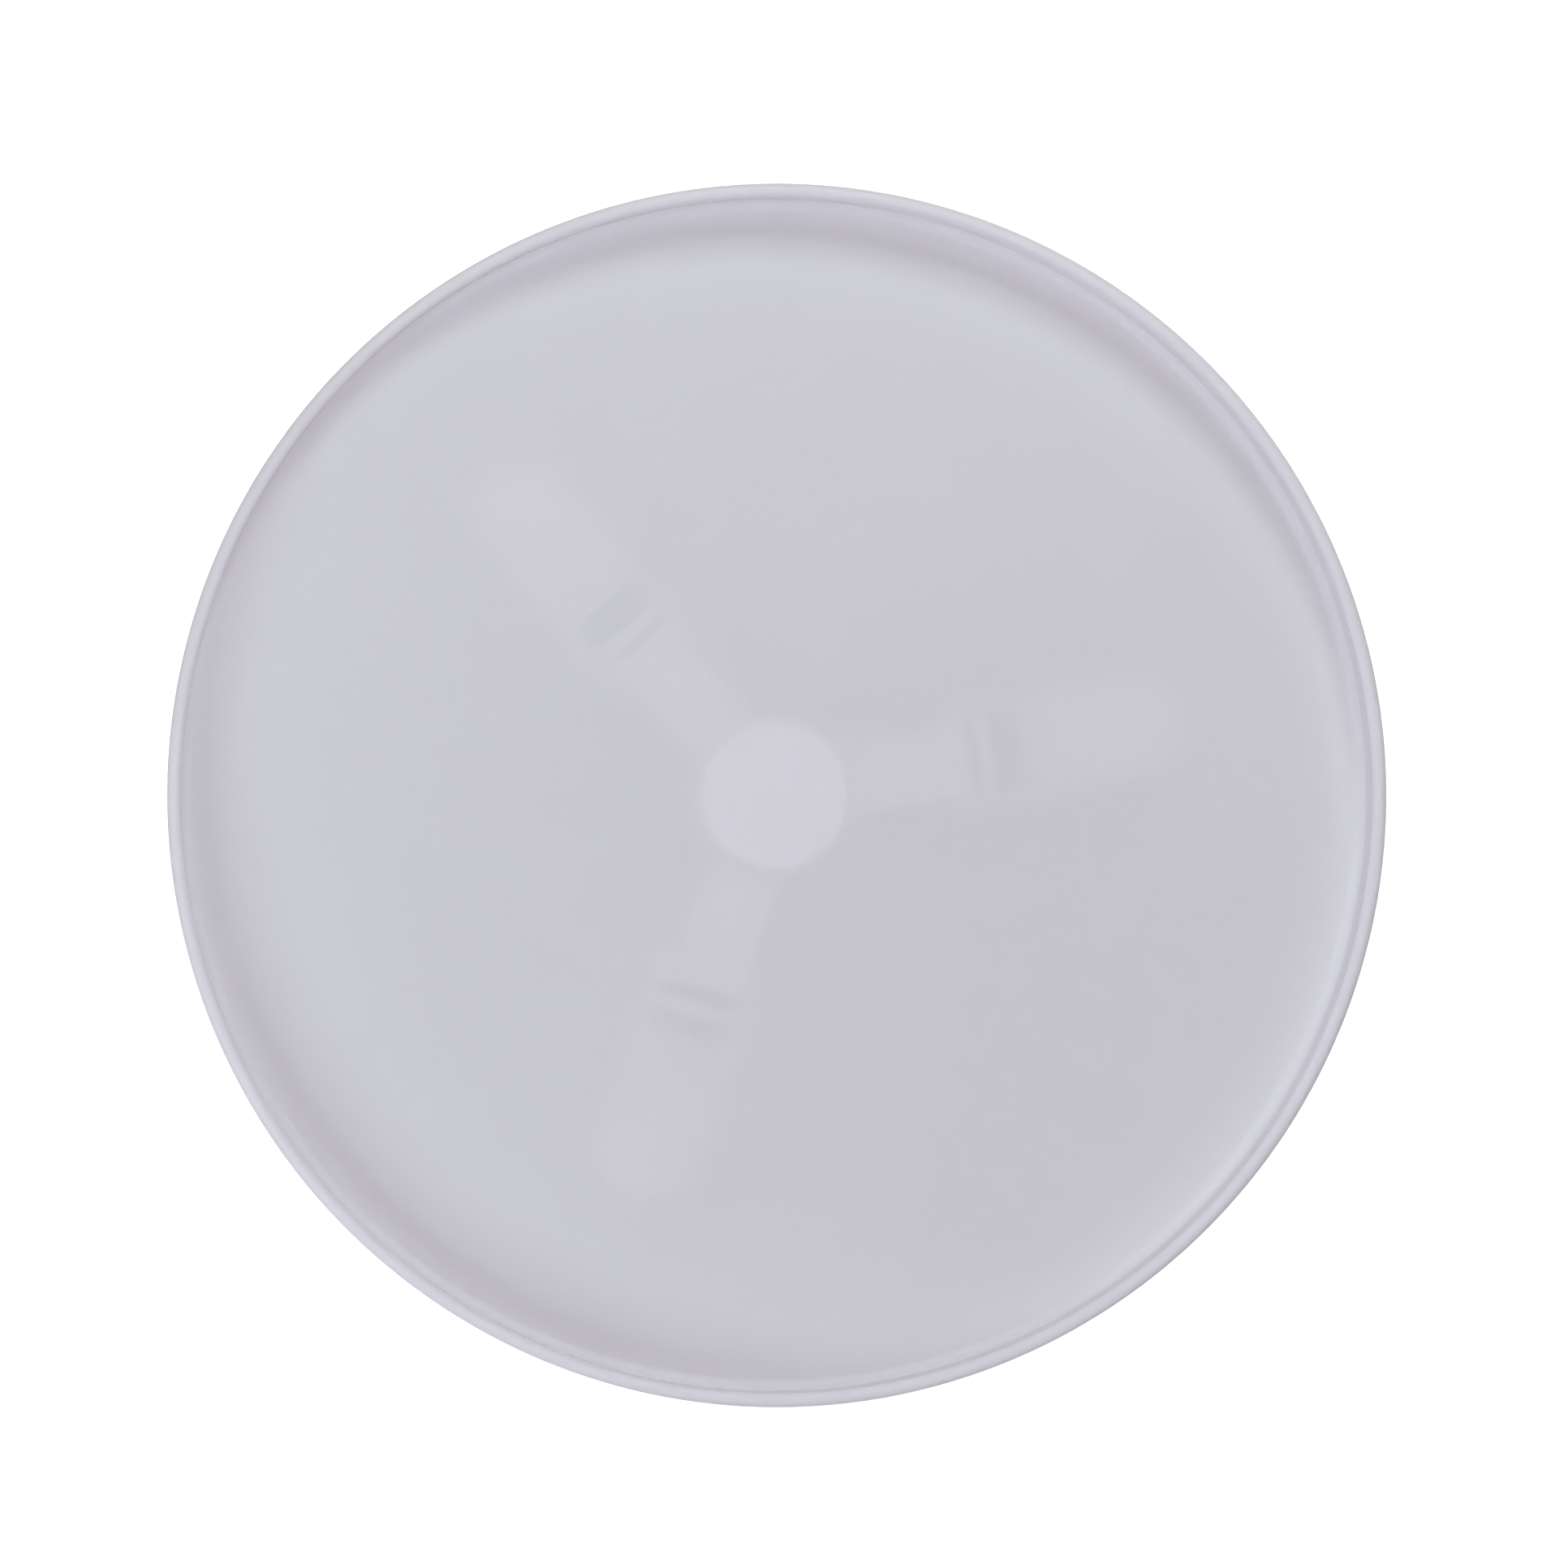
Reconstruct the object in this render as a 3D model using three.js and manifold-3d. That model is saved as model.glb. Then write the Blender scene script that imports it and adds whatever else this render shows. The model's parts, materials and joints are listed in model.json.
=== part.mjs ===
// Lazy susan: a round frosted tray with a raised rim, turning on a three-armed base.
// Units are millimetres and +Z is up. The origin is on the table, under the middle of the tray.
// The tray turns on a steel pin in the middle of the base, and its flat underside runs on three
// rollers, one in each arm, whose axles point away from the middle.

import * as THREE from 'three';
import { mergeVertices } from 'three/addons/utils/BufferGeometryUtils.js';
import Module from 'manifold-3d';

// ---------------------------------------------------------------- driving dimensions

const trayDiameter = 305;         // over the rim, 12 inches
const trayFloor = 3;              // thickness of the flat floor
const rimHeight = 15;             // inside depth of the tray
const rimWall = 3.6;              // thickness of the rim wall
const rimDraft = 0.8;             // how far the outer wall leans in from top to bottom
const innerFillet = 3;            // round between the floor and the rim, inside
const outerFillet = 4.5;          // round between the underside and the rim, outside

const fitGap = 0.3;               // free space between pieces that touch or fit together
const turnGap = 0.4;              // free space round a piece that turns

const hubDiscDiameter = 36.5;     // round plate under the tray that holds the pivot pin
const hubDiscThickness = 3;
const pinDiameter = 10;
const pinSocketDepth = 2;         // how far the pin enters the hub disc
const thrustWasherThickness = 1;
const bushWall = 3;
const bushFlangeWidth = 2;        // how far the bush's flange stands out from its sleeve
const bushFlangeThickness = 1.2;
const retainingWasherLip = 0.6;   // how far the retaining washer reaches past the bush
const retainingWasherThickness = 1.2;
const screwDiameter = 4;
const screwLength = 9;            // shank, under the head
const screwHeadDiameter = 8;
const screwHeadHeight = 2;

const footProud = 2.5;            // how far the rubber feet lift the base off the table
const footDiameter = 15;
const footRecess = 1.5;           // depth of the pocket that each foot sits in
const footStemDiameter = 4.6;
const footStemLength = 3.5;
const footFromLug = 2.9;          // material between the axle lug and the inner foot
const footSpacing = 3;            // material between an arm's two feet
const footToTip = 3.5;            // material between the outer foot and the arm's tip
const bossLip = 1;                // how far the round bosses reach past the feet under them
const bossHeight = 1.8;           // how far they stand above the arm

const hubRadius = 20.5;           // round middle of the base
const hubCavityWall = 1.25;       // the cover's snap ring
const hubCoverLip = 2.5;          // how far the cover reaches past its snap ring
const hubCoverThickness = 1.4;
const hubCoverSkirt = 2;          // height of the snap ring

const armCount = 3;
const firstArmAngle = 11;         // degrees from +X towards +Y
const beamWidth = 18;             // inner part of an arm, from the hub to the roller
const slotStart = 51.2;           // inner end of the roller's slot, measured from the middle
const slotLength = 13.2;
const slotSideGap = 0.7;          // free space between the roller and each side of its slot
const cheekWall = 3;              // walls on both sides of the slot
const cheekDrop = 2.7;            // how far the top of those walls lies below the axle
const skin = 2.5;                 // thickness of the moulded walls of the base
const edgeBreak = 1;              // chamfered edges of the base moulding
const cornerRound = 3;            // round corners of an arm, seen from above

const rollerClearance = 4.7;      // free space between the rollers and the table
const rollerDiameter = 19;        // over the tyre
const rollerWidth = 5.4;
const wheelFlange = 0.9;          // width of each side flange, with the tyre between them
const flangeRise = 0.9;           // side flanges of the wheel above the tyre's seat
const tyreThickness = 2;
const tyreCrown = 0.5;            // how much smaller the tyre is at its edges
const webRecess = 1.2;            // depth of the round hollow in each side of the wheel
const axleDiameter = 3;
const axleSeat = 4.2;             // how far the axle enters the end of the beam
const lugWidth = 9;               // lug that holds the axle's outer end
const lugThickness = 3.2;
const clipDiameter = 7.5;         // push-on clip on the axle's outer end
const clipThickness = 0.8;
const clipClearance = 0.45;       // free space between the clip and the arm under it
// Rollers are free to slide along their axles: how far each stands from the slot's inner end.
const rollerSlide = [0.4, 0.4, 3.2];

// How many flat sides stand for a full circle.
const traySides = 80;
const hubSides = 48;
const coverSides = 32;
const tyreSides = 28;
const wheelSides = 20;
const partSides = 24;
const smallSides = 16;
const tipSteps = 14;              // along the half round at an arm's tip
const cornerSteps = 3;            // along a quarter round at an arm's corner

// ---------------------------------------------------------------- worked-out heights and radii

const rollerRadius = rollerDiameter / 2;
const axleRadius = axleDiameter / 2;
const axleHeight = rollerClearance + rollerRadius;

const trayRadius = trayDiameter / 2;
const trayUnderside = axleHeight + rollerRadius + fitGap;
const floorTop = trayUnderside + trayFloor;
const trayTop = floorTop + rimHeight;

const hubDiscTop = trayUnderside - fitGap;
const hubDiscBottom = hubDiscTop - hubDiscThickness;
const upperWasherTop = hubDiscBottom - fitGap;
const upperWasherBottom = upperWasherTop - thrustWasherThickness;
const baseTop = upperWasherBottom - fitGap;
const baseBottom = footProud;

const pinRadius = pinDiameter / 2;
const pinTop = hubDiscBottom + pinSocketDepth;
const bushBore = pinRadius + turnGap;
const bushRadius = bushBore + bushWall;
const bushFlangeRadius = bushRadius + bushFlangeWidth;
const retainingWasherRadius = bushRadius + retainingWasherLip;
const screwHeadBottom = baseBottom + hubCoverThickness + fitGap;
const retainingWasherBottom = screwHeadBottom + screwHeadHeight + fitGap;
const retainingWasherTop = retainingWasherBottom + retainingWasherThickness;
const pinBottom = retainingWasherTop + fitGap;
const lowerWasherTop = pinBottom + thrustWasherThickness;
const bushBottom = lowerWasherTop + fitGap;
const coverSkirtInner = retainingWasherRadius + turnGap;
const coverSkirtOuter = coverSkirtInner + hubCavityWall;
const hubCavityRadius = coverSkirtOuter + fitGap;
const hubCoverRadius = coverSkirtOuter + hubCoverLip;

const slotEnd = slotStart + slotLength;
const slotWidth = rollerDiameter + 2 * slotSideGap;
const forkWidth = slotWidth + 2 * cheekWall;
const cheekTop = axleHeight - cheekDrop;
const lugTop = axleHeight + axleRadius + skin;
const lugOuter = slotEnd + lugThickness;
const axleStart = slotStart - axleSeat;
const clipStart = lugOuter + fitGap;
const axleEnd = clipStart + clipThickness + fitGap;
const padTop = axleHeight - clipDiameter / 2 - clipClearance;

const footRadius = footDiameter / 2;
const innerFoot = lugOuter + footFromLug + footRadius;
const outerFoot = innerFoot + footDiameter + footSpacing;
const footPlaces = { inner: innerFoot, outer: outerFoot };
const bossRadius = footRadius + bossLip;
const armTip = outerFoot + footRadius + footToTip;
const tyreWidth = rollerWidth - 2 * wheelFlange;
const overcut = 1;                // how far a cutting solid runs past the face that it cuts

// ---------------------------------------------------------------- finishes

const frostedPlastic = { color: 0xcac8d3, roughness: 0.6, metalness: 0 };
const whitePlastic = { color: 0xeceaf0, roughness: 0.45, metalness: 0 };
const slipperyPlastic = { color: 0xe6e2d6, roughness: 0.35, metalness: 0 };
const greyRubber = { color: 0x8d8d94, roughness: 0.85, metalness: 0 };
const softTyre = { color: 0xc9c9cf, roughness: 0.8, metalness: 0 };
const brightSteel = { color: 0xb9bcc0, roughness: 0.25, metalness: 1 };

// ---------------------------------------------------------------- geometry helpers

const wasm = await Module();
wasm.setup();

// A closed three.js geometry as a solid that can be joined and cut.
function solidOf(geometry) {
  const bare = geometry.index ? geometry.clone() : geometry;
  bare.deleteAttribute('normal');
  bare.deleteAttribute('uv');
  const merged = mergeVertices(bare, 1e-4);
  const corners = Array.from(merged.index.array);
  const kept = [];
  for (let i = 0; i < corners.length; i += 3) {
    const [a, b, c] = corners.slice(i, i + 3);
    if (a !== b && b !== c && c !== a) kept.push(a, b, c);
  }
  return new wasm.Manifold(new wasm.Mesh({
    numProp: 3,
    vertProperties: new Float32Array(merged.attributes.position.array),
    triVerts: new Uint32Array(kept),
  }));
}

// A solid back as a three.js geometry.
function geometryOf(solid) {
  const mesh = solid.getMesh();
  const geometry = new THREE.BufferGeometry();
  geometry.setAttribute('position', new THREE.BufferAttribute(mesh.vertProperties, 3));
  geometry.setIndex(new THREE.BufferAttribute(mesh.triVerts, 1));
  geometry.computeVertexNormals();
  return geometry;
}

// A body of revolution about +Z. The outline is [radius, height] pairs, run anticlockwise.
function turned(outline, segments) {
  const points = outline.map(([radius, height]) => new THREE.Vector2(radius, height));
  const closesOnAxis = points[0].x === 0 && points[points.length - 1].x === 0;
  if (!closesOnAxis) points.push(points[0].clone());
  return solidOf(new THREE.LatheGeometry(points, segments).rotateX(Math.PI / 2));
}

// Points along a quarter round from angle `from` to angle `to`, in degrees.
function arc(radiusCentre, heightCentre, round, from, to, steps) {
  const points = [];
  for (let i = 0; i <= steps; i += 1) {
    const angle = THREE.MathUtils.degToRad(from + ((to - from) * i) / steps);
    points.push([radiusCentre + round * Math.cos(angle), heightCentre + round * Math.sin(angle)]);
  }
  return points;
}

// A plain disc or cylinder about +Z.
function disc(radius, bottom, top, segments = partSides) {
  return turned([[0, bottom], [radius, bottom], [radius, top], [0, top]], segments);
}

// A flat ring about +Z.
function ring(inner, outer, bottom, top, segments = partSides) {
  return turned([[inner, bottom], [outer, bottom], [outer, top], [inner, top]], segments);
}

// A block between two corners.
function block(low, high) {
  const size = high.map((value, axis) => value - low[axis]);
  const geometry = new THREE.BoxGeometry(...size);
  geometry.translate(...low.map((value, axis) => value + size[axis] / 2));
  return solidOf(geometry);
}

// A quarter round at one corner of a flat outline.
function corner(x, y, round, from) {
  return arc(x, y, round, from, from + 90, cornerSteps);
}

// An outline along an arm: `start` and `end` are distances from the middle. Its corners are
// round, and `endIsHalfCircle` makes the far end one half circle instead.
function armOutline(start, end, width, round, endIsHalfCircle = false) {
  const half = width / 2;
  const farEnd = endIsHalfCircle
    ? arc(end - half, 0, half, -90, 90, tipSteps)
    : [...corner(end - round, round - half, round, -90), ...corner(end - round, half - round, round, 0)];
  return [
    ...farEnd,
    ...corner(start + round, half - round, round, 90),
    ...corner(start + round, round - half, round, 180),
  ];
}

// An outline pulled up from `bottom` to `top`, with its edges chamfered when `chamfer` is given.
function raised(outline, bottom, top, chamfer = 0) {
  const shape = new THREE.Shape(outline.map(([x, y]) => new THREE.Vector2(x, y)));
  const geometry = new THREE.ExtrudeGeometry(shape, {
    depth: top - bottom - 2 * chamfer,
    bevelEnabled: chamfer > 0,
    bevelThickness: chamfer,
    bevelSize: chamfer,
    bevelOffset: -chamfer,
    bevelSegments: 1,
    steps: 1,
  });
  geometry.translate(0, 0, bottom + chamfer);
  return solidOf(geometry);
}

function addPiece(group, name, solid, finish) {
  const mesh = new THREE.Mesh(geometryOf(solid), new THREE.MeshStandardMaterial(finish));
  mesh.name = name;
  group.add(mesh);
  return mesh;
}

// ---------------------------------------------------------------- tray and its pivot

// The tray: a flat floor with a rounded rim all round, moulded in one piece.
function tray() {
  const lipRound = rimWall / 2;
  const innerRadius = trayRadius - rimWall;
  const footOfWall = trayRadius - rimDraft;
  const outerSteps = 4;
  const lipSteps = 5;
  const innerSteps = 3;
  return turned([
    [0, trayUnderside],
    ...arc(footOfWall - outerFillet, trayUnderside + outerFillet, outerFillet, -90, 0, outerSteps),
    ...arc(trayRadius - lipRound, trayTop - lipRound, lipRound, 0, 180, lipSteps),
    ...arc(innerRadius - innerFillet, floorTop + innerFillet, innerFillet, 0, -90, innerSteps),
    [0, floorTop],
  ], traySides);
}

// The round plate fixed under the tray, with a socket for the pin.
function hubDisc() {
  const edge = 0.6;
  const radius = hubDiscDiameter / 2;
  const socket = pinRadius + fitGap;
  return turned([
    [0, pinTop + fitGap],
    [socket, pinTop + fitGap],
    [socket, hubDiscBottom],
    [radius - edge, hubDiscBottom],
    [radius, hubDiscBottom + edge],
    [radius, hubDiscTop],
    [0, hubDiscTop],
  ], hubSides);
}

// The steel pin, with a threaded hole in its lower end for the screw.
function pivotPin() {
  const chamfer = 0.6;
  const hole = screwDiameter / 2 + fitGap;
  const holeTop = screwHeadBottom + screwHeadHeight + screwLength + fitGap;
  return turned([
    [0, holeTop],
    [hole, holeTop],
    [hole, pinBottom],
    [pinRadius - chamfer, pinBottom],
    [pinRadius, pinBottom + chamfer],
    [pinRadius, pinTop - chamfer],
    [pinRadius - chamfer, pinTop],
    [0, pinTop],
  ], partSides);
}

// The flanged bush that the pin turns in.
function pivotBush() {
  return turned([
    [bushBore, bushBottom],
    [bushRadius, bushBottom],
    [bushRadius, baseTop - bushFlangeThickness],
    [bushFlangeRadius, baseTop - bushFlangeThickness],
    [bushFlangeRadius, baseTop],
    [bushBore, baseTop],
  ], partSides);
}

// A pan-head screw with a cross recess in its head, pointing up into the pin.
function retainingScrew() {
  const shank = screwDiameter / 2;
  const head = screwHeadDiameter / 2;
  const headTop = screwHeadBottom + screwHeadHeight;
  const flatRadius = head * 0.6;
  const shoulderRadius = head * 0.9;
  const shoulderHeight = screwHeadHeight * 0.3;
  const edgeHeight = screwHeadHeight * 0.2;
  const tip = 0.6;
  const body = turned([
    [0, screwHeadBottom],
    [flatRadius, screwHeadBottom],
    [shoulderRadius, screwHeadBottom + shoulderHeight],
    [head, headTop - edgeHeight],
    [head, headTop],
    [shank, headTop],
    [shank, headTop + screwLength - tip],
    [shank - tip, headTop + screwLength],
    [0, headTop + screwLength],
  ], partSides);
  const recessReach = head * 0.5;
  const recessHalfWidth = head * 0.14;
  const recessDepth = screwHeadHeight * 0.6;
  const recessBar = block(
    [-recessReach, -recessHalfWidth, screwHeadBottom - overcut],
    [recessReach, recessHalfWidth, screwHeadBottom + recessDepth],
  );
  return body.subtract(recessBar).subtract(recessBar.rotate([0, 0, 90]));
}

// ---------------------------------------------------------------- base

// One arm of the base before it is hollowed: the beam, the fork round the roller, the wide outer
// end with its two bosses, and the lug that holds the axle.
function armBody() {
  const beamOutline = armOutline(hubRadius / 2, slotStart, beamWidth, cornerRound / 2);
  const forkOutline = armOutline(axleStart - skin, lugOuter, forkWidth, cornerRound);
  const padOutline = armOutline(slotEnd, armTip, forkWidth, cornerRound, true);
  const lug = block([slotEnd, -lugWidth / 2, baseBottom + edgeBreak], [lugOuter, lugWidth / 2, lugTop]);
  let body = raised(beamOutline, baseBottom, baseTop, edgeBreak)
    .add(raised(forkOutline, baseBottom, cheekTop, edgeBreak))
    .add(raised(padOutline, baseBottom, padTop, edgeBreak))
    .add(lug);
  for (const distance of Object.values(footPlaces)) {
    const boss = turned([
      [0, padTop - edgeBreak],
      [bossRadius, padTop - edgeBreak],
      [bossRadius, padTop + bossHeight - edgeBreak],
      [bossRadius - edgeBreak, padTop + bossHeight],
      [0, padTop + bossHeight],
    ], partSides);
    body = body.add(boss.translate([distance, 0, 0]));
  }
  return body;
}

// The hollow underside of an arm's beam: two pockets with a rib between them.
function beamPockets() {
  const top = baseTop - skin;
  const half = beamWidth / 2 - skin;
  const start = hubRadius + skin;
  const end = axleStart - skin;
  const middle = (start + end) / 2;
  const below = baseBottom - overcut;
  return block([start, -half, below], [middle - skin / 2, half, top])
    .add(block([middle + skin / 2, -half, below], [end, half, top]));
}

// The hollow underside of an arm's outer end, with the feet's seats and stem holes.
function padPockets() {
  const below = baseBottom - overcut;
  const inside = armOutline(lugOuter, armTip - skin, forkWidth - 2 * skin, skin, true);
  const stemTop = baseBottom + footRecess + footStemLength + fitGap;
  let hollow = raised(inside, below, padTop - skin);
  for (const distance of Object.values(footPlaces)) {
    const at = [distance, 0, 0];
    const seat = disc(footRadius + fitGap, below, baseBottom + footRecess);
    const stemHole = disc(footStemDiameter / 2 + fitGap, below, stemTop, smallSides);
    hollow = hollow
      .subtract(disc(footRadius + skin / 2, below, padTop).translate(at))
      .add(seat.translate(at))
      .add(stemHole.translate(at));
  }
  return hollow;
}

// Everything that is cut out of one arm.
function armCuts() {
  const slot = block(
    [slotStart, -slotWidth / 2, baseBottom - overcut],
    [slotEnd, slotWidth / 2, baseTop + overcut],
  );
  const holeStart = axleStart - fitGap;
  const hole = disc(axleRadius + fitGap, 0, lugOuter + overcut - holeStart, smallSides);
  return slot
    .add(hole.rotate([0, 90, 0]).translate([holeStart, 0, axleHeight]))
    .add(beamPockets())
    .add(padPockets());
}

// What is cut out of the middle of the base: the cover's seat, the cavity for the washers and
// the screw, and the bush's seat.
function hubCuts() {
  const below = baseBottom - overcut;
  const above = baseTop + overcut;
  return disc(hubCoverRadius + fitGap, below, screwHeadBottom, coverSides)
    .add(disc(hubCavityRadius, below, bushBottom - fitGap))
    .add(disc(bushRadius + fitGap, below, above))
    .add(disc(bushFlangeRadius + fitGap, baseTop - bushFlangeThickness - fitGap, above));
}

// The base moulding: a round hub with an arm every 120 degrees, all one piece.
function baseFrame() {
  let frame = turned([
    [0, baseBottom],
    [hubRadius - edgeBreak, baseBottom],
    [hubRadius, baseBottom + edgeBreak],
    [hubRadius, baseTop - edgeBreak],
    [hubRadius - edgeBreak, baseTop],
    [0, baseTop],
  ], hubSides);
  const arm = armBody();
  const cuts = armCuts();
  for (const angle of armAngles()) frame = frame.add(arm.rotate([0, 0, angle]));
  for (const angle of armAngles()) frame = frame.subtract(cuts.rotate([0, 0, angle]));
  return frame.subtract(hubCuts());
}

// The cap that closes the hub from below, with a ring that snaps into the cavity.
function hubCover() {
  const edge = 0.6;
  const top = baseBottom + hubCoverThickness;
  return turned([
    [0, baseBottom],
    [hubCoverRadius - edge, baseBottom],
    [hubCoverRadius, baseBottom + edge],
    [hubCoverRadius, top],
    [coverSkirtOuter, top],
    [coverSkirtOuter, top + hubCoverSkirt],
    [coverSkirtInner, top + hubCoverSkirt],
    [coverSkirtInner, top],
    [0, top],
  ], coverSides);
}

function armAngles() {
  return Array.from({ length: armCount }, (_, arm) => firstArmAngle + (360 / armCount) * arm);
}

// ---------------------------------------------------------------- rollers and feet

// The wheel: a hub and two side flanges that keep the tyre in place.
function rollerWheel() {
  const bore = axleRadius + turnGap;
  const seat = rollerRadius - tyreThickness - fitGap;
  const flange = seat + flangeRise;
  const half = rollerWidth / 2;
  const groove = tyreWidth / 2 + fitGap;
  const web = half - webRecess;
  const webInner = bore + axleRadius;
  const webOuter = seat - axleRadius;
  return turned([
    [bore, -half],
    [webInner, -half],
    [webInner, -web],
    [webOuter, -web],
    [webOuter, -half],
    [flange, -half],
    [flange, -groove],
    [seat, -groove],
    [seat, groove],
    [flange, groove],
    [flange, half],
    [webOuter, half],
    [webOuter, web],
    [webInner, web],
    [webInner, half],
    [bore, half],
  ], wheelSides);
}

// The soft tyre, slightly crowned so that it meets the tray along a narrow line.
function rollerTyre() {
  const inner = rollerRadius - tyreThickness;
  const half = tyreWidth / 2;
  const flat = half / 3;
  return turned([
    [inner, -half],
    [rollerRadius - tyreCrown, -half],
    [rollerRadius, -flat],
    [rollerRadius, flat],
    [rollerRadius - tyreCrown, half],
    [inner, half],
  ], tyreSides);
}

// The steel axle, with rounded ends.
function rollerAxle() {
  const end = 0.4;
  return turned([
    [0, 0],
    [axleRadius - end, 0],
    [axleRadius, end],
    [axleRadius, axleEnd - axleStart - end],
    [axleRadius - end, axleEnd - axleStart],
    [0, axleEnd - axleStart],
  ], smallSides);
}

// The push-on clip that keeps the axle from sliding out.
function axleClip() {
  return ring(axleRadius + fitGap, clipDiameter / 2, 0, clipThickness, smallSides);
}

// A rubber foot with the stem that pushes up into the arm.
function foot() {
  const edge = 0.8;
  const top = baseBottom + footRecess - fitGap;
  const stem = footStemDiameter / 2;
  return turned([
    [0, 0],
    [footRadius - edge, 0],
    [footRadius, edge],
    [footRadius, top],
    [stem, top],
    [stem, top + footStemLength],
    [0, top + footStemLength],
  ], partSides);
}

// ---------------------------------------------------------------- assembly

const lazySusan = new THREE.Group();
const base = new THREE.Group();
const turntable = new THREE.Group();
lazySusan.add(base, turntable);

addPiece(turntable, 'tray', tray(), frostedPlastic);
addPiece(turntable, 'tray_hub_disc', hubDisc(), whitePlastic);
addPiece(turntable, 'pivot_pin', pivotPin(), brightSteel);
addPiece(turntable, 'retaining_screw', retainingScrew(), brightSteel);
addPiece(
  turntable,
  'retaining_washer',
  ring(screwDiameter / 2 + fitGap, retainingWasherRadius, retainingWasherBottom, retainingWasherTop),
  brightSteel,
);

addPiece(base, 'base_frame', baseFrame(), whitePlastic);
addPiece(base, 'pivot_bush', pivotBush(), slipperyPlastic);
addPiece(
  base,
  'upper_thrust_washer',
  ring(bushBore, bushFlangeRadius, upperWasherBottom, upperWasherTop),
  slipperyPlastic,
);
addPiece(
  base,
  'lower_thrust_washer',
  ring(bushBore, bushRadius, pinBottom, lowerWasherTop),
  slipperyPlastic,
);
addPiece(base, 'hub_cover', hubCover(), whitePlastic);

armAngles().forEach((angle, index) => {
  const number = index + 1;
  const arm = new THREE.Group();
  arm.rotation.z = THREE.MathUtils.degToRad(angle);
  base.add(arm);

  const rollerMiddle = slotStart + rollerSlide[index] + rollerWidth / 2;
  for (const [name, solid, finish] of [
    ['roller_wheel', rollerWheel(), whitePlastic],
    ['roller_tyre', rollerTyre(), softTyre],
  ]) {
    const piece = addPiece(arm, `${name}_${number}`, solid, finish);
    piece.position.set(rollerMiddle, 0, axleHeight);
    piece.rotation.y = Math.PI / 2;
  }

  const axle = addPiece(arm, `roller_axle_${number}`, rollerAxle(), brightSteel);
  axle.position.set(axleStart, 0, axleHeight);
  axle.rotation.y = Math.PI / 2;

  const clip = addPiece(arm, `axle_clip_${number}`, axleClip(), brightSteel);
  clip.position.set(clipStart, 0, axleHeight);
  clip.rotation.y = Math.PI / 2;

  for (const [place, distance] of Object.entries(footPlaces)) {
    const piece = addPiece(arm, `foot_${number}_${place}`, foot(), greyRubber);
    piece.position.x = distance;
  }
});

export default lazySusan;
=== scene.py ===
# %% [markdown]
# # Lazy susan turntable
#
# A round tray of frosted plastic with a low rim turns on a three-armed base. The engineering
# model is already packed as a fixed frame: it says where every piece is and how it moves. This
# notebook gives each piece its fine surface and its finish. It never moves the frame's pieces.

import json
import math

import bpy
import numpy as np
from mathutils import Matrix, Vector

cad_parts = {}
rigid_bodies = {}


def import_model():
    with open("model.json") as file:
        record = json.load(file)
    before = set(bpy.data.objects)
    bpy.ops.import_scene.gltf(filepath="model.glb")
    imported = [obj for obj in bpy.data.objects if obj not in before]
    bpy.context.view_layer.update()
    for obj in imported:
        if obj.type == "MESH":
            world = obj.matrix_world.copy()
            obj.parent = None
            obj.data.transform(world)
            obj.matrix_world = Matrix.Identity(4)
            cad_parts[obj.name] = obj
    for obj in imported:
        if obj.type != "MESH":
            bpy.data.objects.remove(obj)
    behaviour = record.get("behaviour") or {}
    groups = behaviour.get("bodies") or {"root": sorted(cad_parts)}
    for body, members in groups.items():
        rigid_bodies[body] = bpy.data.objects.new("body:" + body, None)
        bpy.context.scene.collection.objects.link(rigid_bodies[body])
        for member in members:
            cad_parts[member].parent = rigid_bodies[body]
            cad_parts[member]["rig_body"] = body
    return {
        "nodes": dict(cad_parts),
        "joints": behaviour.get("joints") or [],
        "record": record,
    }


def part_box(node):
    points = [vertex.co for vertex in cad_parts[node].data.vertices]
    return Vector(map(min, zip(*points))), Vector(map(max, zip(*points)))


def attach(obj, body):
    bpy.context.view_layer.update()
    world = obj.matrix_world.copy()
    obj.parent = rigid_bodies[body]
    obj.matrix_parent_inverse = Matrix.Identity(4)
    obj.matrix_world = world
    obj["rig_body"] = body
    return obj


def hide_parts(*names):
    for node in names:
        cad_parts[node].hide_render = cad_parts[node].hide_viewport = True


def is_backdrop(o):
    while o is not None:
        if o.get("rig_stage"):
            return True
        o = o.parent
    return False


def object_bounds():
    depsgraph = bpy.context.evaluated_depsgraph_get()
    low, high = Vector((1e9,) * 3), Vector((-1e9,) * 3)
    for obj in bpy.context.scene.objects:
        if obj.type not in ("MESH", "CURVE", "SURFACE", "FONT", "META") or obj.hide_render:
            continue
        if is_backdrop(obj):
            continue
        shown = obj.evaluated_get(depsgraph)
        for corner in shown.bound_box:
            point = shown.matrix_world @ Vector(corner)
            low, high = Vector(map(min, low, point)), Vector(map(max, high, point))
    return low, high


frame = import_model()
cad_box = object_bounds()
MM = 0.001

# %% [markdown]
# ## Sizes taken from the frame
#
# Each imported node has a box, and the box of a round piece says how wide and how tall it is. The
# outlines below start from those sizes. Only wall thicknesses, grooves and small rounds have to
# be stated here, always in millimetres, as on a workshop drawing.

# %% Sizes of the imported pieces
def heights(node):
    """Lowest and highest point of a node above the table, in millimetres."""
    low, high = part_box(node)
    return low.z / MM, high.z / MM


def reach(node):
    """How far a round node on the tray's axis reaches from that axis, in millimetres."""
    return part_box(node)[1].x / MM


def centre(node):
    """The middle of a node's box, in metres."""
    low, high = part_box(node)
    return (low + high) / 2


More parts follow.
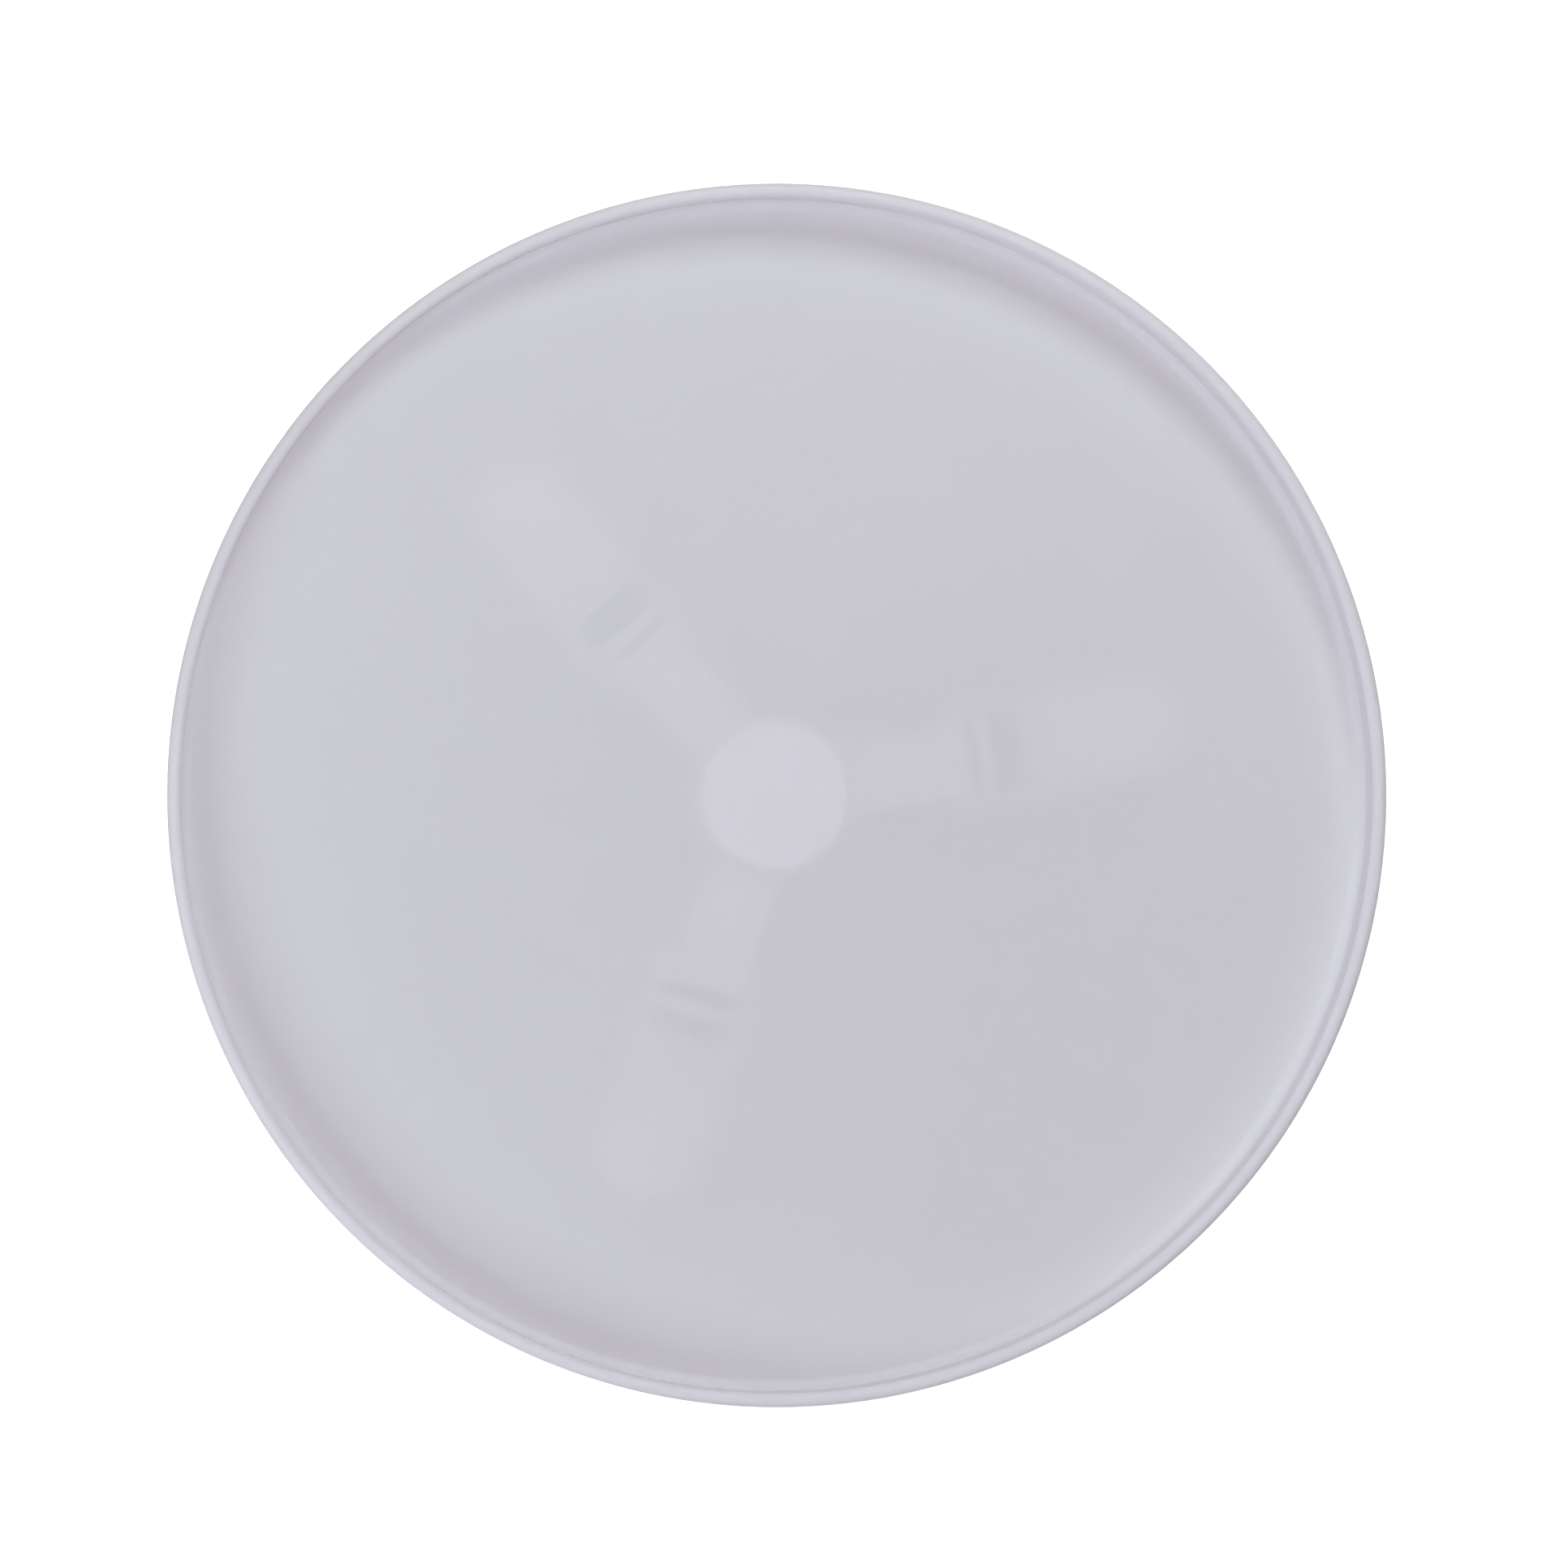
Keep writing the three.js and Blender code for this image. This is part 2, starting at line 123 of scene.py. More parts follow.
underside, rim_top = heights("tray")
tray_radius = reach("tray")
mounts = {mount["name"]: mount for mount in frame["record"]["mounts"]}
floor_top = mounts["tray_floor"]["pos_m"][2] / MM
slot_of = {part["node"]: part["material_slot"] for part in frame["record"]["subparts"]}
print(f"tray {2 * tray_radius:.0f} mm across, {rim_top - floor_top:.1f} mm deep")

# %% [markdown]
# ## A round outline from corners
#
# Nearly every piece here is turned or moulded round. On a bench drawing such a piece is a half
# section: a few corners, each with a radius. The same drawing works here. Each corner is
# (distance from the axis, height, round), and the outline runs anticlockwise, so that the
# material is on its left. An exact normal goes with every point, so that a large flat face next
# to a small round still shades flat.

# %% Outline with round corners
def rounded_outline(corners, on_axis, steps=5):
    """Each corner becomes an arc tangent to its two sides: the arc's centre lies on the corner's
    bisector, at round / sin(half the corner's angle) from the corner. With on_axis, the first and
    last corners lie on the axis and stay as they are. Returns the points in metres, their outward
    normals, how far along the outline each one is in millimetres, and how far it is round an
    outside corner: 0 on flats and hollows, 1 in the middle of the corner."""
    corners = np.array(corners, float)
    spots, rounds = corners[:, :2], corners[:, 2]
    points, normals, edges = [], [], []
    for i, spot in enumerate(spots):
        before, after = spots[i - 1] - spot, spots[(i + 1) % len(spots)] - spot
        if on_axis and i in (0, len(spots) - 1):
            along = after if i == 0 else -before
            points.append(spot[None])
            normals.append(np.array([[along[1], -along[0]]]) / np.hypot(*along))
            edges.append(np.zeros(1))
            continue
        before, after = before / np.hypot(*before), after / np.hypot(*after)
        half = math.acos(np.clip(before @ after, -1, 1)) / 2
        bisector = (before + after) / np.hypot(*(before + after))
        middle = spot + bisector * rounds[i] / math.sin(half)
        first = spot + before * rounds[i] / math.tan(half) - middle
        last = spot + after * rounds[i] / math.tan(half) - middle
        share = np.linspace(0, 1, steps + 1)[:, None]
        sweep = math.pi - 2 * half
        arc = (np.sin((1 - share) * sweep) * first + np.sin(share * sweep) * last) / math.sin(sweep)
        convex = before[0] * after[1] - before[1] * after[0] < 0
        points.append(middle + arc)
        normals.append((arc if convex else -arc) / rounds[i])
        edges.append(np.sin(np.pi * share[:, 0]) if convex else np.zeros(steps + 1))
    points = np.vstack(points)
    stretches = np.hypot(*np.diff(points, axis=0).T)
    along = np.concatenate([[0], np.cumsum(stretches)])
    return points * MM, np.vstack(normals), along, np.concatenate(edges)


# %% [markdown]
# ## Carry the outline round its axis
#
# A lathe does this with a tool, and a round mould does it too. Here the outline's points stay
# one axis of a grid and the angle is the other, so the whole surface is worked out in one array
# step. Each point also keeps two numbers that the finishes read: how far along the outline it
# lies, for tool marks that run round the piece, and how near a corner, for rubbed edges.

# %% Turned surface
SHARP_FROM = math.radians(35)


def stands_for(mesh, node):
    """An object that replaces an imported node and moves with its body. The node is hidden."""
    piece = bpy.data.objects.new(node + "_fine", mesh)
    bpy.context.scene.collection.objects.link(piece)
    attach(piece, frame["nodes"][node]["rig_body"])
    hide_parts(node)
    return piece


def turned(node, corners, sides, place=Matrix.Identity(4), on_axis=True, steps=5, bore=None):
    """Point i of the outline at angle a lies at (r cos a, r sin a, h), and its normal at
    (n cos a, n sin a, m), where r, h and n, m are the outline's own. An outline on the axis is
    closed with one point at each end, and any other is joined to itself. `bore`, if given, moves
    the points: it takes the radii and the angles and gives new radii."""
    points, normals, along, edges = rounded_outline(corners, on_axis, steps)
    angles = np.arange(sides) * math.tau / sides
    around = np.stack([np.cos(angles), np.sin(angles)], axis=1)

    def carried(pairs):
        flat = pairs[:, None, :1] * around[None]
        up = np.repeat(pairs[:, None, 1:], sides, axis=1)
        return np.concatenate([flat, up], axis=2)

    ringed = slice(1, -1) if on_axis else slice(None)
    solid = carried(points)[ringed]
    if bore:
        radii = np.repeat(points[ringed, :1], sides, axis=1)
        solid[..., :2] *= (bore(radii / MM, angles[None]) * MM / radii)[..., None]
    facing = carried(normals)[ringed].reshape(-1, 3)
    count = len(solid)
    grid = np.arange(count * sides).reshape(count, sides)
    rows = grid if on_axis else np.vstack([grid, grid[:1]])
    rows = np.hstack([rows, rows[:, :1]])
    quads = np.stack([rows[:-1, :-1], rows[:-1, 1:], rows[1:, 1:], rows[1:, :-1]], axis=-1)
    faces = quads.reshape(-1, 4).tolist()
    solid = solid.reshape(-1, 3)
    marks = [np.repeat(values[ringed], sides) for values in (along, edges)]
    if on_axis:
        first, last = len(solid), len(solid) + 1
        start = np.stack([np.full(sides, first), rows[0, 1:], rows[0, :-1]], axis=-1)
        end = np.stack([rows[-1, :-1], rows[-1, 1:], np.full(sides, last)], axis=-1)
        faces += start.tolist() + end.tolist()
        solid = np.vstack([solid, [[0, 0, points[0, 1]], [0, 0, points[-1, 1]]]])
        facing = np.vstack([facing, [[0, 0, normals[0, 1]], [0, 0, normals[-1, 1]]]])
        marks = [np.append(mark, [values[0], values[-1]]) for mark, values in zip(marks, (along, edges))]

    mesh = bpy.data.meshes.new(node + "_fine")
    mesh.from_pydata(solid.tolist(), [], faces)
    mesh.transform(place)
    mesh.shade_smooth()
    if bore:
        mesh.set_sharp_from_angle(angle=SHARP_FROM)
    else:
        turn = np.array(place.to_3x3())
        mesh.normals_split_custom_set_from_vertices((facing @ turn.T).tolist())
    for name, mark in zip(("along", "edge"), marks):
        mesh.attributes.new(name, "FLOAT", "POINT").data.foreach_set("value", mark.astype(np.float32))
    return stands_for(mesh, node)


# %% [markdown]
# ## The tray
#
# One moulding: a flat floor 3 mm thick with a wall all round. The wall leans out a little so
# that it leaves the mould, is rounded generously where it meets the floor, and ends in a full
# round lip that is kind to the hands. 512 steps round it keep the lip smooth in a close view.

# %% Tray
RIM_WALL = 3.6
DRAFT = 0.8
OUTER_FILLET = 4.5
INNER_FILLET = 3.0
LIP_ROUND = 1.75
inner_radius = tray_radius - RIM_WALL
tray = turned(
    "tray",
    [
        (0, underside, 0),
        (tray_radius - DRAFT, underside, OUTER_FILLET),
        (tray_radius, rim_top, LIP_ROUND),
        (inner_radius, rim_top, LIP_ROUND),
        (inner_radius, floor_top, INNER_FILLET),
        (0, floor_top, 0),
    ],
    sides=512,
    steps=8,
)
print("tray:", len(tray.data.polygons), "faces")

# %% [markdown]
# ## The pivot in the middle
#
# A round plate under the tray holds a steel pin. The pin turns in a flanged bush of slippery
# plastic, with a thin washer above and below, and a screw with a large washer keeps it from
# lifting out. All of them are plain turned or blanked pieces with broken edges, so each is one
# short half section.

# %% Hub disc, pin, bush and washers
bottom, top = heights("tray_hub_disc")
disc_radius = reach("tray_hub_disc")
pin_bottom, pin_top = heights("pivot_pin")
pin_radius = reach("pivot_pin")
GAP = 0.3
SMALL_SIDES = 96
turned(
    "tray_hub_disc",
    [
        (0, pin_top + GAP, 0),
        (pin_radius + GAP, pin_top + GAP, 0.2),
        (pin_radius + GAP, bottom, 0.3),
        (disc_radius, bottom, 0.8),
        (disc_radius, top, 0.25),
        (0, top, 0),
    ],
    sides=192,
)

SCREW_HOLE = 2.3
THREAD_END = 15.5
turned(
    "pivot_pin",
    [
        (0, THREAD_END, 0),
        (SCREW_HOLE, THREAD_END, 0.1),
        (SCREW_HOLE, pin_bottom, 0.3),
        (pin_radius, pin_bottom, 0.6),
        (pin_radius, pin_top, 0.6),
        (0, pin_top, 0),
    ],
    sides=SMALL_SIDES,
)

bottom, top = heights("pivot_bush")
flange = reach("pivot_bush")
BUSH_BORE = 5.4
BUSH_WALL = 3.0
FLANGE_THICKNESS = 1.2
turned(
    "pivot_bush",
    [
        (BUSH_BORE, bottom, 0.3),
        (BUSH_BORE + BUSH_WALL, bottom, 0.5),
        (BUSH_BORE + BUSH_WALL, top - FLANGE_THICKNESS, 0.2),
        (flange, top - FLANGE_THICKNESS, 0.2),
        (flange, top, 0.4),
        (BUSH_BORE, top, 0.4),
    ],
    sides=SMALL_SIDES,
    on_axis=False,
)


def washer(node, bore, edge):
    """A flat ring: a rectangle in half section with its four corners rounded by `edge`."""
    bottom, top = heights(node)
    outer = reach(node)
    turned(
        node,
        [(bore, bottom, edge), (outer, bottom, edge), (outer, top, edge), (bore, top, edge)],
        sides=SMALL_SIDES,
        on_axis=False,
    )


washer("upper_thrust_washer", BUSH_BORE, 0.25)
washer("lower_thrust_washer", BUSH_BORE, 0.25)
washer("retaining_washer", SCREW_HOLE, 0.2)
print(f"pin {2 * pin_radius:.0f} mm thick, hub disc {2 * disc_radius:.1f} mm across")

# %% [markdown]
# ## The cover under the hub
#
# A cap snaps into the middle of the base from below. Its ring grips the cavity's wall, and its
# outer face has one shallow ring groove, which such covers have so that the moulded disc stays
# flat as it cools.

# %% Hub cover
bottom, top = heights("hub_cover")
cover_radius = reach("hub_cover")
PLATE = 1.4
RING_OUTER = 10.65
RING_INNER = 9.4
GROOVE_INNER = 8.2
GROOVE_OUTER = 9.6
GROOVE_TOP = bottom + 0.35
turned(
    "hub_cover",
    [
        (0, bottom, 0),
        (GROOVE_INNER, bottom, 0.15),
        (GROOVE_INNER, GROOVE_TOP, 0.15),
        (GROOVE_OUTER, GROOVE_TOP, 0.15),
        (GROOVE_OUTER, bottom, 0.15),
        (cover_radius, bottom, 0.6),
        (cover_radius, bottom + PLATE, 0.2),
        (RING_OUTER, bottom + PLATE, 0.15),
        (RING_OUTER, top, 0.4),
        (RING_INNER, top, 0.4),
        (RING_INNER, bottom + PLATE, 0.2),
        (0, bottom + PLATE, 0),
    ],
    sides=128,
)

# %% [markdown]
# ## Rollers, axles and clips
#
# Each arm carries a wheel with a soft tyre on a steel axle that points away from the middle. The
# wheel is moulded with a hollow in each side, and two thin flanges keep the tyre in its seat. A
# spring-steel clip with four notches in its bore is pushed onto the axle's outer end. The
# outlines are drawn round an upright axis, and then a matrix lays that axis along the arm.

# %% Pieces on the three arms
def laid_along(direction, spot):
    """A matrix that turns the upright axis to `direction` and puts its origin at `spot`."""
    turn = Vector(direction).to_track_quat("Z", "Y").to_matrix().to_4x4()
    return Matrix.Translation(spot) @ turn


def both_sides(half_outline):
    """Corners for the +Z half, from the bore's end outwards, mirrored to give the whole ring."""
    lower = [(radius, -height, rounding) for radius, height, rounding in half_outline]
    return lower + half_outline[::-1]


WHEEL_BORE = 1.9
WHEEL_HALF = 2.7
WHEEL_HUB = 3.4
WEB_HALF = 1.5
WHEEL_RIM = 5.7
FLANGE_RADIUS = 8.1
SEAT_RADIUS = 7.2
SEAT_HALF = 2.1
wheel_section = both_sides([
    (WHEEL_BORE, WHEEL_HALF, 0.2),
    (WHEEL_HUB, WHEEL_HALF, 0.25),
    (WHEEL_HUB, WEB_HALF, 0.3),
    (WHEEL_RIM, WEB_HALF, 0.3),
    (WHEEL_RIM, WHEEL_HALF, 0.2),
    (FLANGE_RADIUS, WHEEL_HALF, 0.25),
    (FLANGE_RADIUS, SEAT_HALF, 0.15),
    (SEAT_RADIUS, SEAT_HALF, 0.15),
])
TYRE_RADIUS = 9.5
TYRE_BORE = 7.5
TYRE_HALF = 1.8
TYRE_SIDES = 128
TREAD_HALF = 0.6
TYRE_SHOULDER = TYRE_RADIUS - 0.5
tyre_section = both_sides([
    (TYRE_BORE, TYRE_HALF, 0.2),
    (TYRE_SHOULDER, TYRE_HALF, 0.35),
    (TYRE_RADIUS, TREAD_HALF, 1.2),
])
AXLE_RADIUS = 1.5
AXLE_HALF = 11.0
axle_section = [
    (0, -AXLE_HALF, 0),
    (AXLE_RADIUS, -AXLE_HALF, 0.45),
    (AXLE_RADIUS, AXLE_HALF, 0.45),
    (0, AXLE_HALF, 0),
]
CLIP_BORE = 1.8
CLIP_RADIUS = 3.75
CLIP_HALF = 0.4
NOTCHES = 4
NOTCH_DEPTH = 0.9
NOTCH_STEEPNESS = 6
NOTCH_EDGE = 0.75
clip_section = both_sides([(CLIP_BORE, CLIP_HALF, 0.12), (CLIP_RADIUS, CLIP_HALF, 0.2)])


def notched(radii, angles):
    """Radii near the bore grow by NOTCH_DEPTH where the cosine of NOTCHES times the angle is above
    NOTCH_EDGE, which is about a quarter of the turn from one notch to the next."""
    cut = np.clip(NOTCH_STEEPNESS * (np.cos(NOTCHES * angles) - NOTCH_EDGE), 0, 1)
    near_bore = np.clip((CLIP_RADIUS - radii) / (CLIP_RADIUS - CLIP_BORE), 0, 1)
    return radii + NOTCH_DEPTH * cut * near_bore


for joint in frame["joints"]:
    if not joint["name"].startswith("roller_spin"):
        continue
    number = joint["name"][-1]
    along_arm = laid_along(joint["axis"], joint["pos_m"])
    turned("roller_wheel_" + number, wheel_section, SMALL_SIDES, along_arm, on_axis=False)
    turned("roller_tyre_" + number, tyre_section, TYRE_SIDES, along_arm, on_axis=False)
    axle, clip = "roller_axle_" + number, "axle_clip_" + number
    axle_spot = laid_along(joint["axis"], centre(axle))
    clip_spot = laid_along(joint["axis"], centre(clip))
    turned(axle, axle_section, SMALL_SIDES, axle_spot)
    turned(clip, clip_section, SMALL_SIDES, clip_spot, on_axis=False, bore=notched)
print("rollers, axles and clips on", sum(n.startswith("roller_axle") for n in frame["nodes"]), "arms")

# %% [markdown]
# ## Rubber feet
#
# Each arm stands on two round feet. Their soles have two ring grooves, so that a thin wet film
# has somewhere to go and the foot grips. A stem on top is pushed into a hole in the arm.

# %% Feet
FOOT_RADIUS = 7.5
SOLE_HEIGHT = 3.7
STEM_RADIUS = 2.3
SOLE_GROOVES = ((2.6, 3.5), (4.8, 5.7))
GROOVE_DEPTH = 0.5
feet = [node for node in frame["nodes"] if node.startswith("foot_")]
for node in feet:
    top = heights(node)[1]
    outline = [(0, 0, 0)]
    for inside, outside in SOLE_GROOVES:
        outline += [
            (inside, 0, 0.2),
            (inside, GROOVE_DEPTH, 0.2),
            (outside, GROOVE_DEPTH, 0.2),
            (outside, 0, 0.2),
        ]
    outline += [
        (FOOT_RADIUS, 0, 0.8),
        (FOOT_RADIUS, SOLE_HEIGHT, 0.4),
        (STEM_RADIUS, SOLE_HEIGHT, 0.4),
        (STEM_RADIUS, top, 0.8),
        (0, top, 0),
    ]
    spot = Matrix.Translation((centre(node).x, centre(node).y, 0))
    turned(node, outline, SMALL_SIDES, spot)
print(len(feet), "feet,", 2 * FOOT_RADIUS, "mm across")

# %% [markdown]
# ## The base moulding
#
# Its shape is already right in the frame: a hub, three hollow arms with slots for the rollers,
# and round bosses over the feet. A real moulding has no knife edges, though, because the mould's
# own corners are never perfectly sharp. Modifiers add that: loose triangles are welded, those in
# one plane are joined, every edge gets a small round, and the flats are kept flat.

# %% Soft edges on the carried-over nodes
SAME_POINT = 0.01
SAME_PLANE = math.radians(1)
EDGE_ANGLE = math.radians(25)


def soften(node, width):
    """Weld the node's loose triangles, join the ones in a plane, and round its edges by `width`."""
    piece = frame["nodes"][node]
    piece.data.shade_smooth()
    weld = piece.modifiers.new("weld", "WELD")
    weld.merge_threshold = SAME_POINT * MM
    flats = piece.modifiers.new("flats", "DECIMATE")
    flats.decimate_type = "DISSOLVE"
    flats.angle_limit = SAME_PLANE
    bevel = piece.modifiers.new("round", "BEVEL")
    bevel.width = width * MM
    bevel.segments = 2
    bevel.limit_method = "ANGLE"
    bevel.angle_limit = EDGE_ANGLE
    bevel.use_clamp_overlap = True
    bevel.harden_normals = False
    smooth = piece.modifiers.new("flat_shading", "WEIGHTED_NORMAL")
    smooth.keep_sharp = False


soften("base_frame", width=0.35)
soften("retaining_screw", width=0.08)

# %% [markdown]
# ## Colours and nodes
#
# Colours are written as the hex values of a colour card, and one function turns them into the
# linear light values that the renderer works with. A second function adds one node with its
# settings and links, and every material below is written with it. A node that mixes two colours
# has no clear names for its sockets, so they get names here.

# %% Helpers for materials
SHARE, FIRST, SECOND = 0, 6, 7
MIXED = 2


def linear(card):
    """sRGB hex to linear RGBA: c / 12.92 below 0.04045, else ((c + 0.055) / 1.055) ** 2.4."""
    channels = [int(card[i:i + 2], 16) / 255 for i in (0, 2, 4)]
    return [c / 12.92 if c <= 0.04045 else ((c + 0.055) / 1.055) ** 2.4 for c in channels] + [1.0]


def add(tree, kind, sockets=None, **settings):
    """One node. `settings` are its own options, and `sockets` maps an input, by name or number,
    to a value or to another node's output."""
    node = tree.nodes.new(kind)
    for name, value in settings.items():
        setattr(node, name, value)
    for name, value in (sockets or {}).items():
        if isinstance(value, bpy.types.NodeSocket):
            tree.links.new(value, node.inputs[name])
        else:
            node.inputs[name].default_value = value
    return node


def new_material(name):
    """An empty material, its node tree and its Principled shader."""
    material = bpy.data.materials.new(name)
    material.use_nodes = True
    tree = material.node_tree
    return material, tree, tree.nodes["Principled BSDF"]


def per_metre(size_mm):
    """The scale of a pattern on Object coordinates whose cells are `size_mm` wide."""
    return 1 / (size_mm * MM)


# %% [markdown]
# ## Frosted polypropylene: the tray
#
# The tray is moulded in natural polypropylene with a trace of blue-violet pigment, against a
# mould etched to a fine matt grain. The grain scatters light as it enters and leaves, so what is
# close under the tray shows almost sharp and what is further away only as a pale blur. In the
# shader that is partly a diffuse surface and partly rough transmission. The melt's flow leaves
# very faint clouds in the colour, and here and there a tiny speck is caught in it.

# %% Frosted polypropylene
SPECK_NET = 30
SPECK_RADIUS = 0.175
CELLS_WITHOUT_SPECK = 0.9


def frosted_polypropylene():
    material, tree, shader = new_material("frosted_polypropylene")
    at = add(tree, "ShaderNodeTexCoord").outputs["Object"]
    clouds = add(tree, "ShaderNodeTexNoise", {"Vector": at, "Scale": per_metre(70), "Detail": 2.0})
    grain = add(tree, "ShaderNodeTexNoise", {"Vector": at, "Scale": per_metre(0.9), "Detail": 2.0})
    tone = add(
        tree,
        "ShaderNodeMix",
        {SHARE: clouds.outputs["Fac"], FIRST: linear("F5F2F8"), SECOND: linear("F8F5FB")},
        data_type="RGBA",
    )
    shade = add(
        tree,
        "ShaderNodeMapRange",
        {"Value": grain.outputs["Fac"], "To Min": 0.985, "To Max": 1.015},
    )
    grained = add(
        tree,
        "ShaderNodeVectorMath",
        {0: tone.outputs[MIXED], "Scale": shade.outputs["Result"]},
        operation="SCALE",
    )
    # Specks: one cell in ten of a net with 30 mm cells holds a dot 0.35 mm across.
    cells = add(
        tree,
        "ShaderNodeTexVoronoi",
        {"Vector": at, "Scale": per_metre(SPECK_NET)},
        voronoi_dimensions="2D",
    )
    dot = add(
        tree,
        "ShaderNodeMath",
        {0: cells.outputs["Distance"], 1: SPECK_RADIUS / SPECK_NET},
        operation="LESS_THAN",
    )
    chosen = add(
        tree,
        "ShaderNodeMath",
        {0: cells.outputs["Color"], 1: CELLS_WITHOUT_SPECK},
        operation="GREATER_THAN",
    )
    speck = add(tree, "ShaderNodeMath", {0: dot.outputs[0], 1: chosen.outputs[0]}, operation="MULTIPLY")
    colour = add(
        tree,
        "ShaderNodeMix",
        {SHARE: speck.outputs[0], FIRST: grained.outputs[0], SECOND: linear("8E8A96")},
        data_type="RGBA",
    )
    # The etched grain is finer than 0.9 mm on the real mould, and is drawn coarser to show at all.
    matt = add(
        tree,
        "ShaderNodeBump",
        {"Height": grain.outputs["Fac"], "Strength": 0.35, "Distance": 0.02 * MM},
    )
    tree.links.new(colour.outputs[MIXED], shader.inputs["Base Color"])
    tree.links.new(matt.outputs["Normal"], shader.inputs["Normal"])
    shader.inputs["Roughness"].default_value = 0.49
    # Below the solid plastic's 1.49, so that the lip doesn't bend light as a clear plastic's would.
    shader.inputs["IOR"].default_value = 1.3
    shader.inputs["Transmission Weight"].default_value = 0.53
    return material


# %% [markdown]
# ## Moulded ABS: base, cover, hub disc and wheels
#
# Acrylonitrile butadiene styrene from a spark-eroded mould. It gives a soft, slightly uneven
# sheen, and its outside corners are rubbed a little glossier by handling. The base and its cover
# are an off-white and the hub disc is a brighter white. The wheels are a dark grey, which is
# painted shade: it stands in for the shade deep in the arms' roller slots. One function takes the
# two tones that the melt's flow mixes for each of them.

# %% Spark-eroded ABS
RUBBED_GLOSS = -0.12


def moulded_abs(name, dark, light):
    material, tree, shader = new_material(name)
    at = add(tree, "ShaderNodeTexCoord").outputs["Object"]
    flow = add(tree, "ShaderNodeTexNoise", {"Vector": at, "Scale": per_metre(25), "Detail": 3.0})
    grain = add(tree, "ShaderNodeTexNoise", {"Vector": at, "Scale": per_metre(0.35), "Detail": 2.0})
    edge = add(tree, "ShaderNodeAttribute", attribute_name="edge").outputs["Fac"]
    colour = add(
        tree,
        "ShaderNodeMix",
        {SHARE: flow.outputs["Fac"], FIRST: linear(dark), SECOND: linear(light)},
        data_type="RGBA",
    )
    uneven = add(
        tree,
        "ShaderNodeMapRange",
        {"Value": flow.outputs["Fac"], "To Min": 0.38, "To Max": 0.5},
    )
    rubbed = add(
        tree,
        "ShaderNodeMath",
        {0: edge, 1: RUBBED_GLOSS, 2: uneven.outputs["Result"]},
        operation="MULTIPLY_ADD",
    )
    # The eroded grain is finer than 0.35 mm on the real mould, and is drawn coarser to show at all.
    texture = add(
        tree,
        "ShaderNodeBump",
        {"Height": grain.outputs["Fac"], "Strength": 0.4, "Distance": 0.03 * MM},
    )
    tree.links.new(colour.outputs[MIXED], shader.inputs["Base Color"])
    tree.links.new(rubbed.outputs[0], shader.inputs["Roughness"])
    tree.links.new(texture.outputs["Normal"], shader.inputs["Normal"])
    shader.inputs["IOR"].default_value = 1.53
    return material


# %% [markdown]
# ## Acetal: bush and thrust washers
#
# Natural acetal is a waxy, faintly yellow white. These pieces are turned from rod, so very fine
# lines run round them. The lines follow the outline, which is what the "along" number is for.

# %% Turned acetal
def tool_marks(tree, spacing_mm, strength, depth_mm):
    """A bump of fine lines round the axis: noise along the outline only, one line wide."""
    along = add(tree, "ShaderNodeAttribute", attribute_name="along").outputs["Fac"]
    lines = add(
        tree,
        "ShaderNodeTexNoise",
        {"W": along, "Scale": 1 / spacing_mm, "Detail": 3.0},
        noise_dimensions="1D",
    )
    marks = add(
        tree,
        "ShaderNodeBump",
        {"Height": lines.outputs["Fac"], "Strength": strength, "Distance": depth_mm * MM},
    )
    return lines.outputs["Fac"], marks.outputs["Normal"]


def turned_acetal():
    material, tree, shader = new_material("acetal_turned")
    lines, marks = tool_marks(tree, spacing_mm=0.25, strength=0.3, depth_mm=0.02)
    colour = add(
        tree,
        "ShaderNodeMix",
        {SHARE: lines, FIRST: linear("E4E0D3"), SECOND: linear("EBE8DD")},
        data_type="RGBA",
    )
    gloss = add(tree, "ShaderNodeMapRange", {"Value": lines, "To Min": 0.28, "To Max": 0.4})
    tree.links.new(colour.outputs[MIXED], shader.inputs["Base Color"])
    tree.links.new(gloss.outputs["Result"], shader.inputs["Roughness"])
    tree.links.new(marks, shader.inputs["Normal"])
    shader.inputs["IOR"].default_value = 1.48
    return material


# %% [markdown]
# ## Rubber: tyres and feet
#
# The tyres are a soft thermoplastic elastomer, light grey, and the feet a darker moulded rubber.
# Both are matt with a slight bloom: a lighter, drier film in patches. Fine pores break up what
# little shine is left, and outside corners are worn a touch smoother.

# %% Moulded rubber
BLOOM_DULLS = 0.06
WORN_GLOSS = -0.1


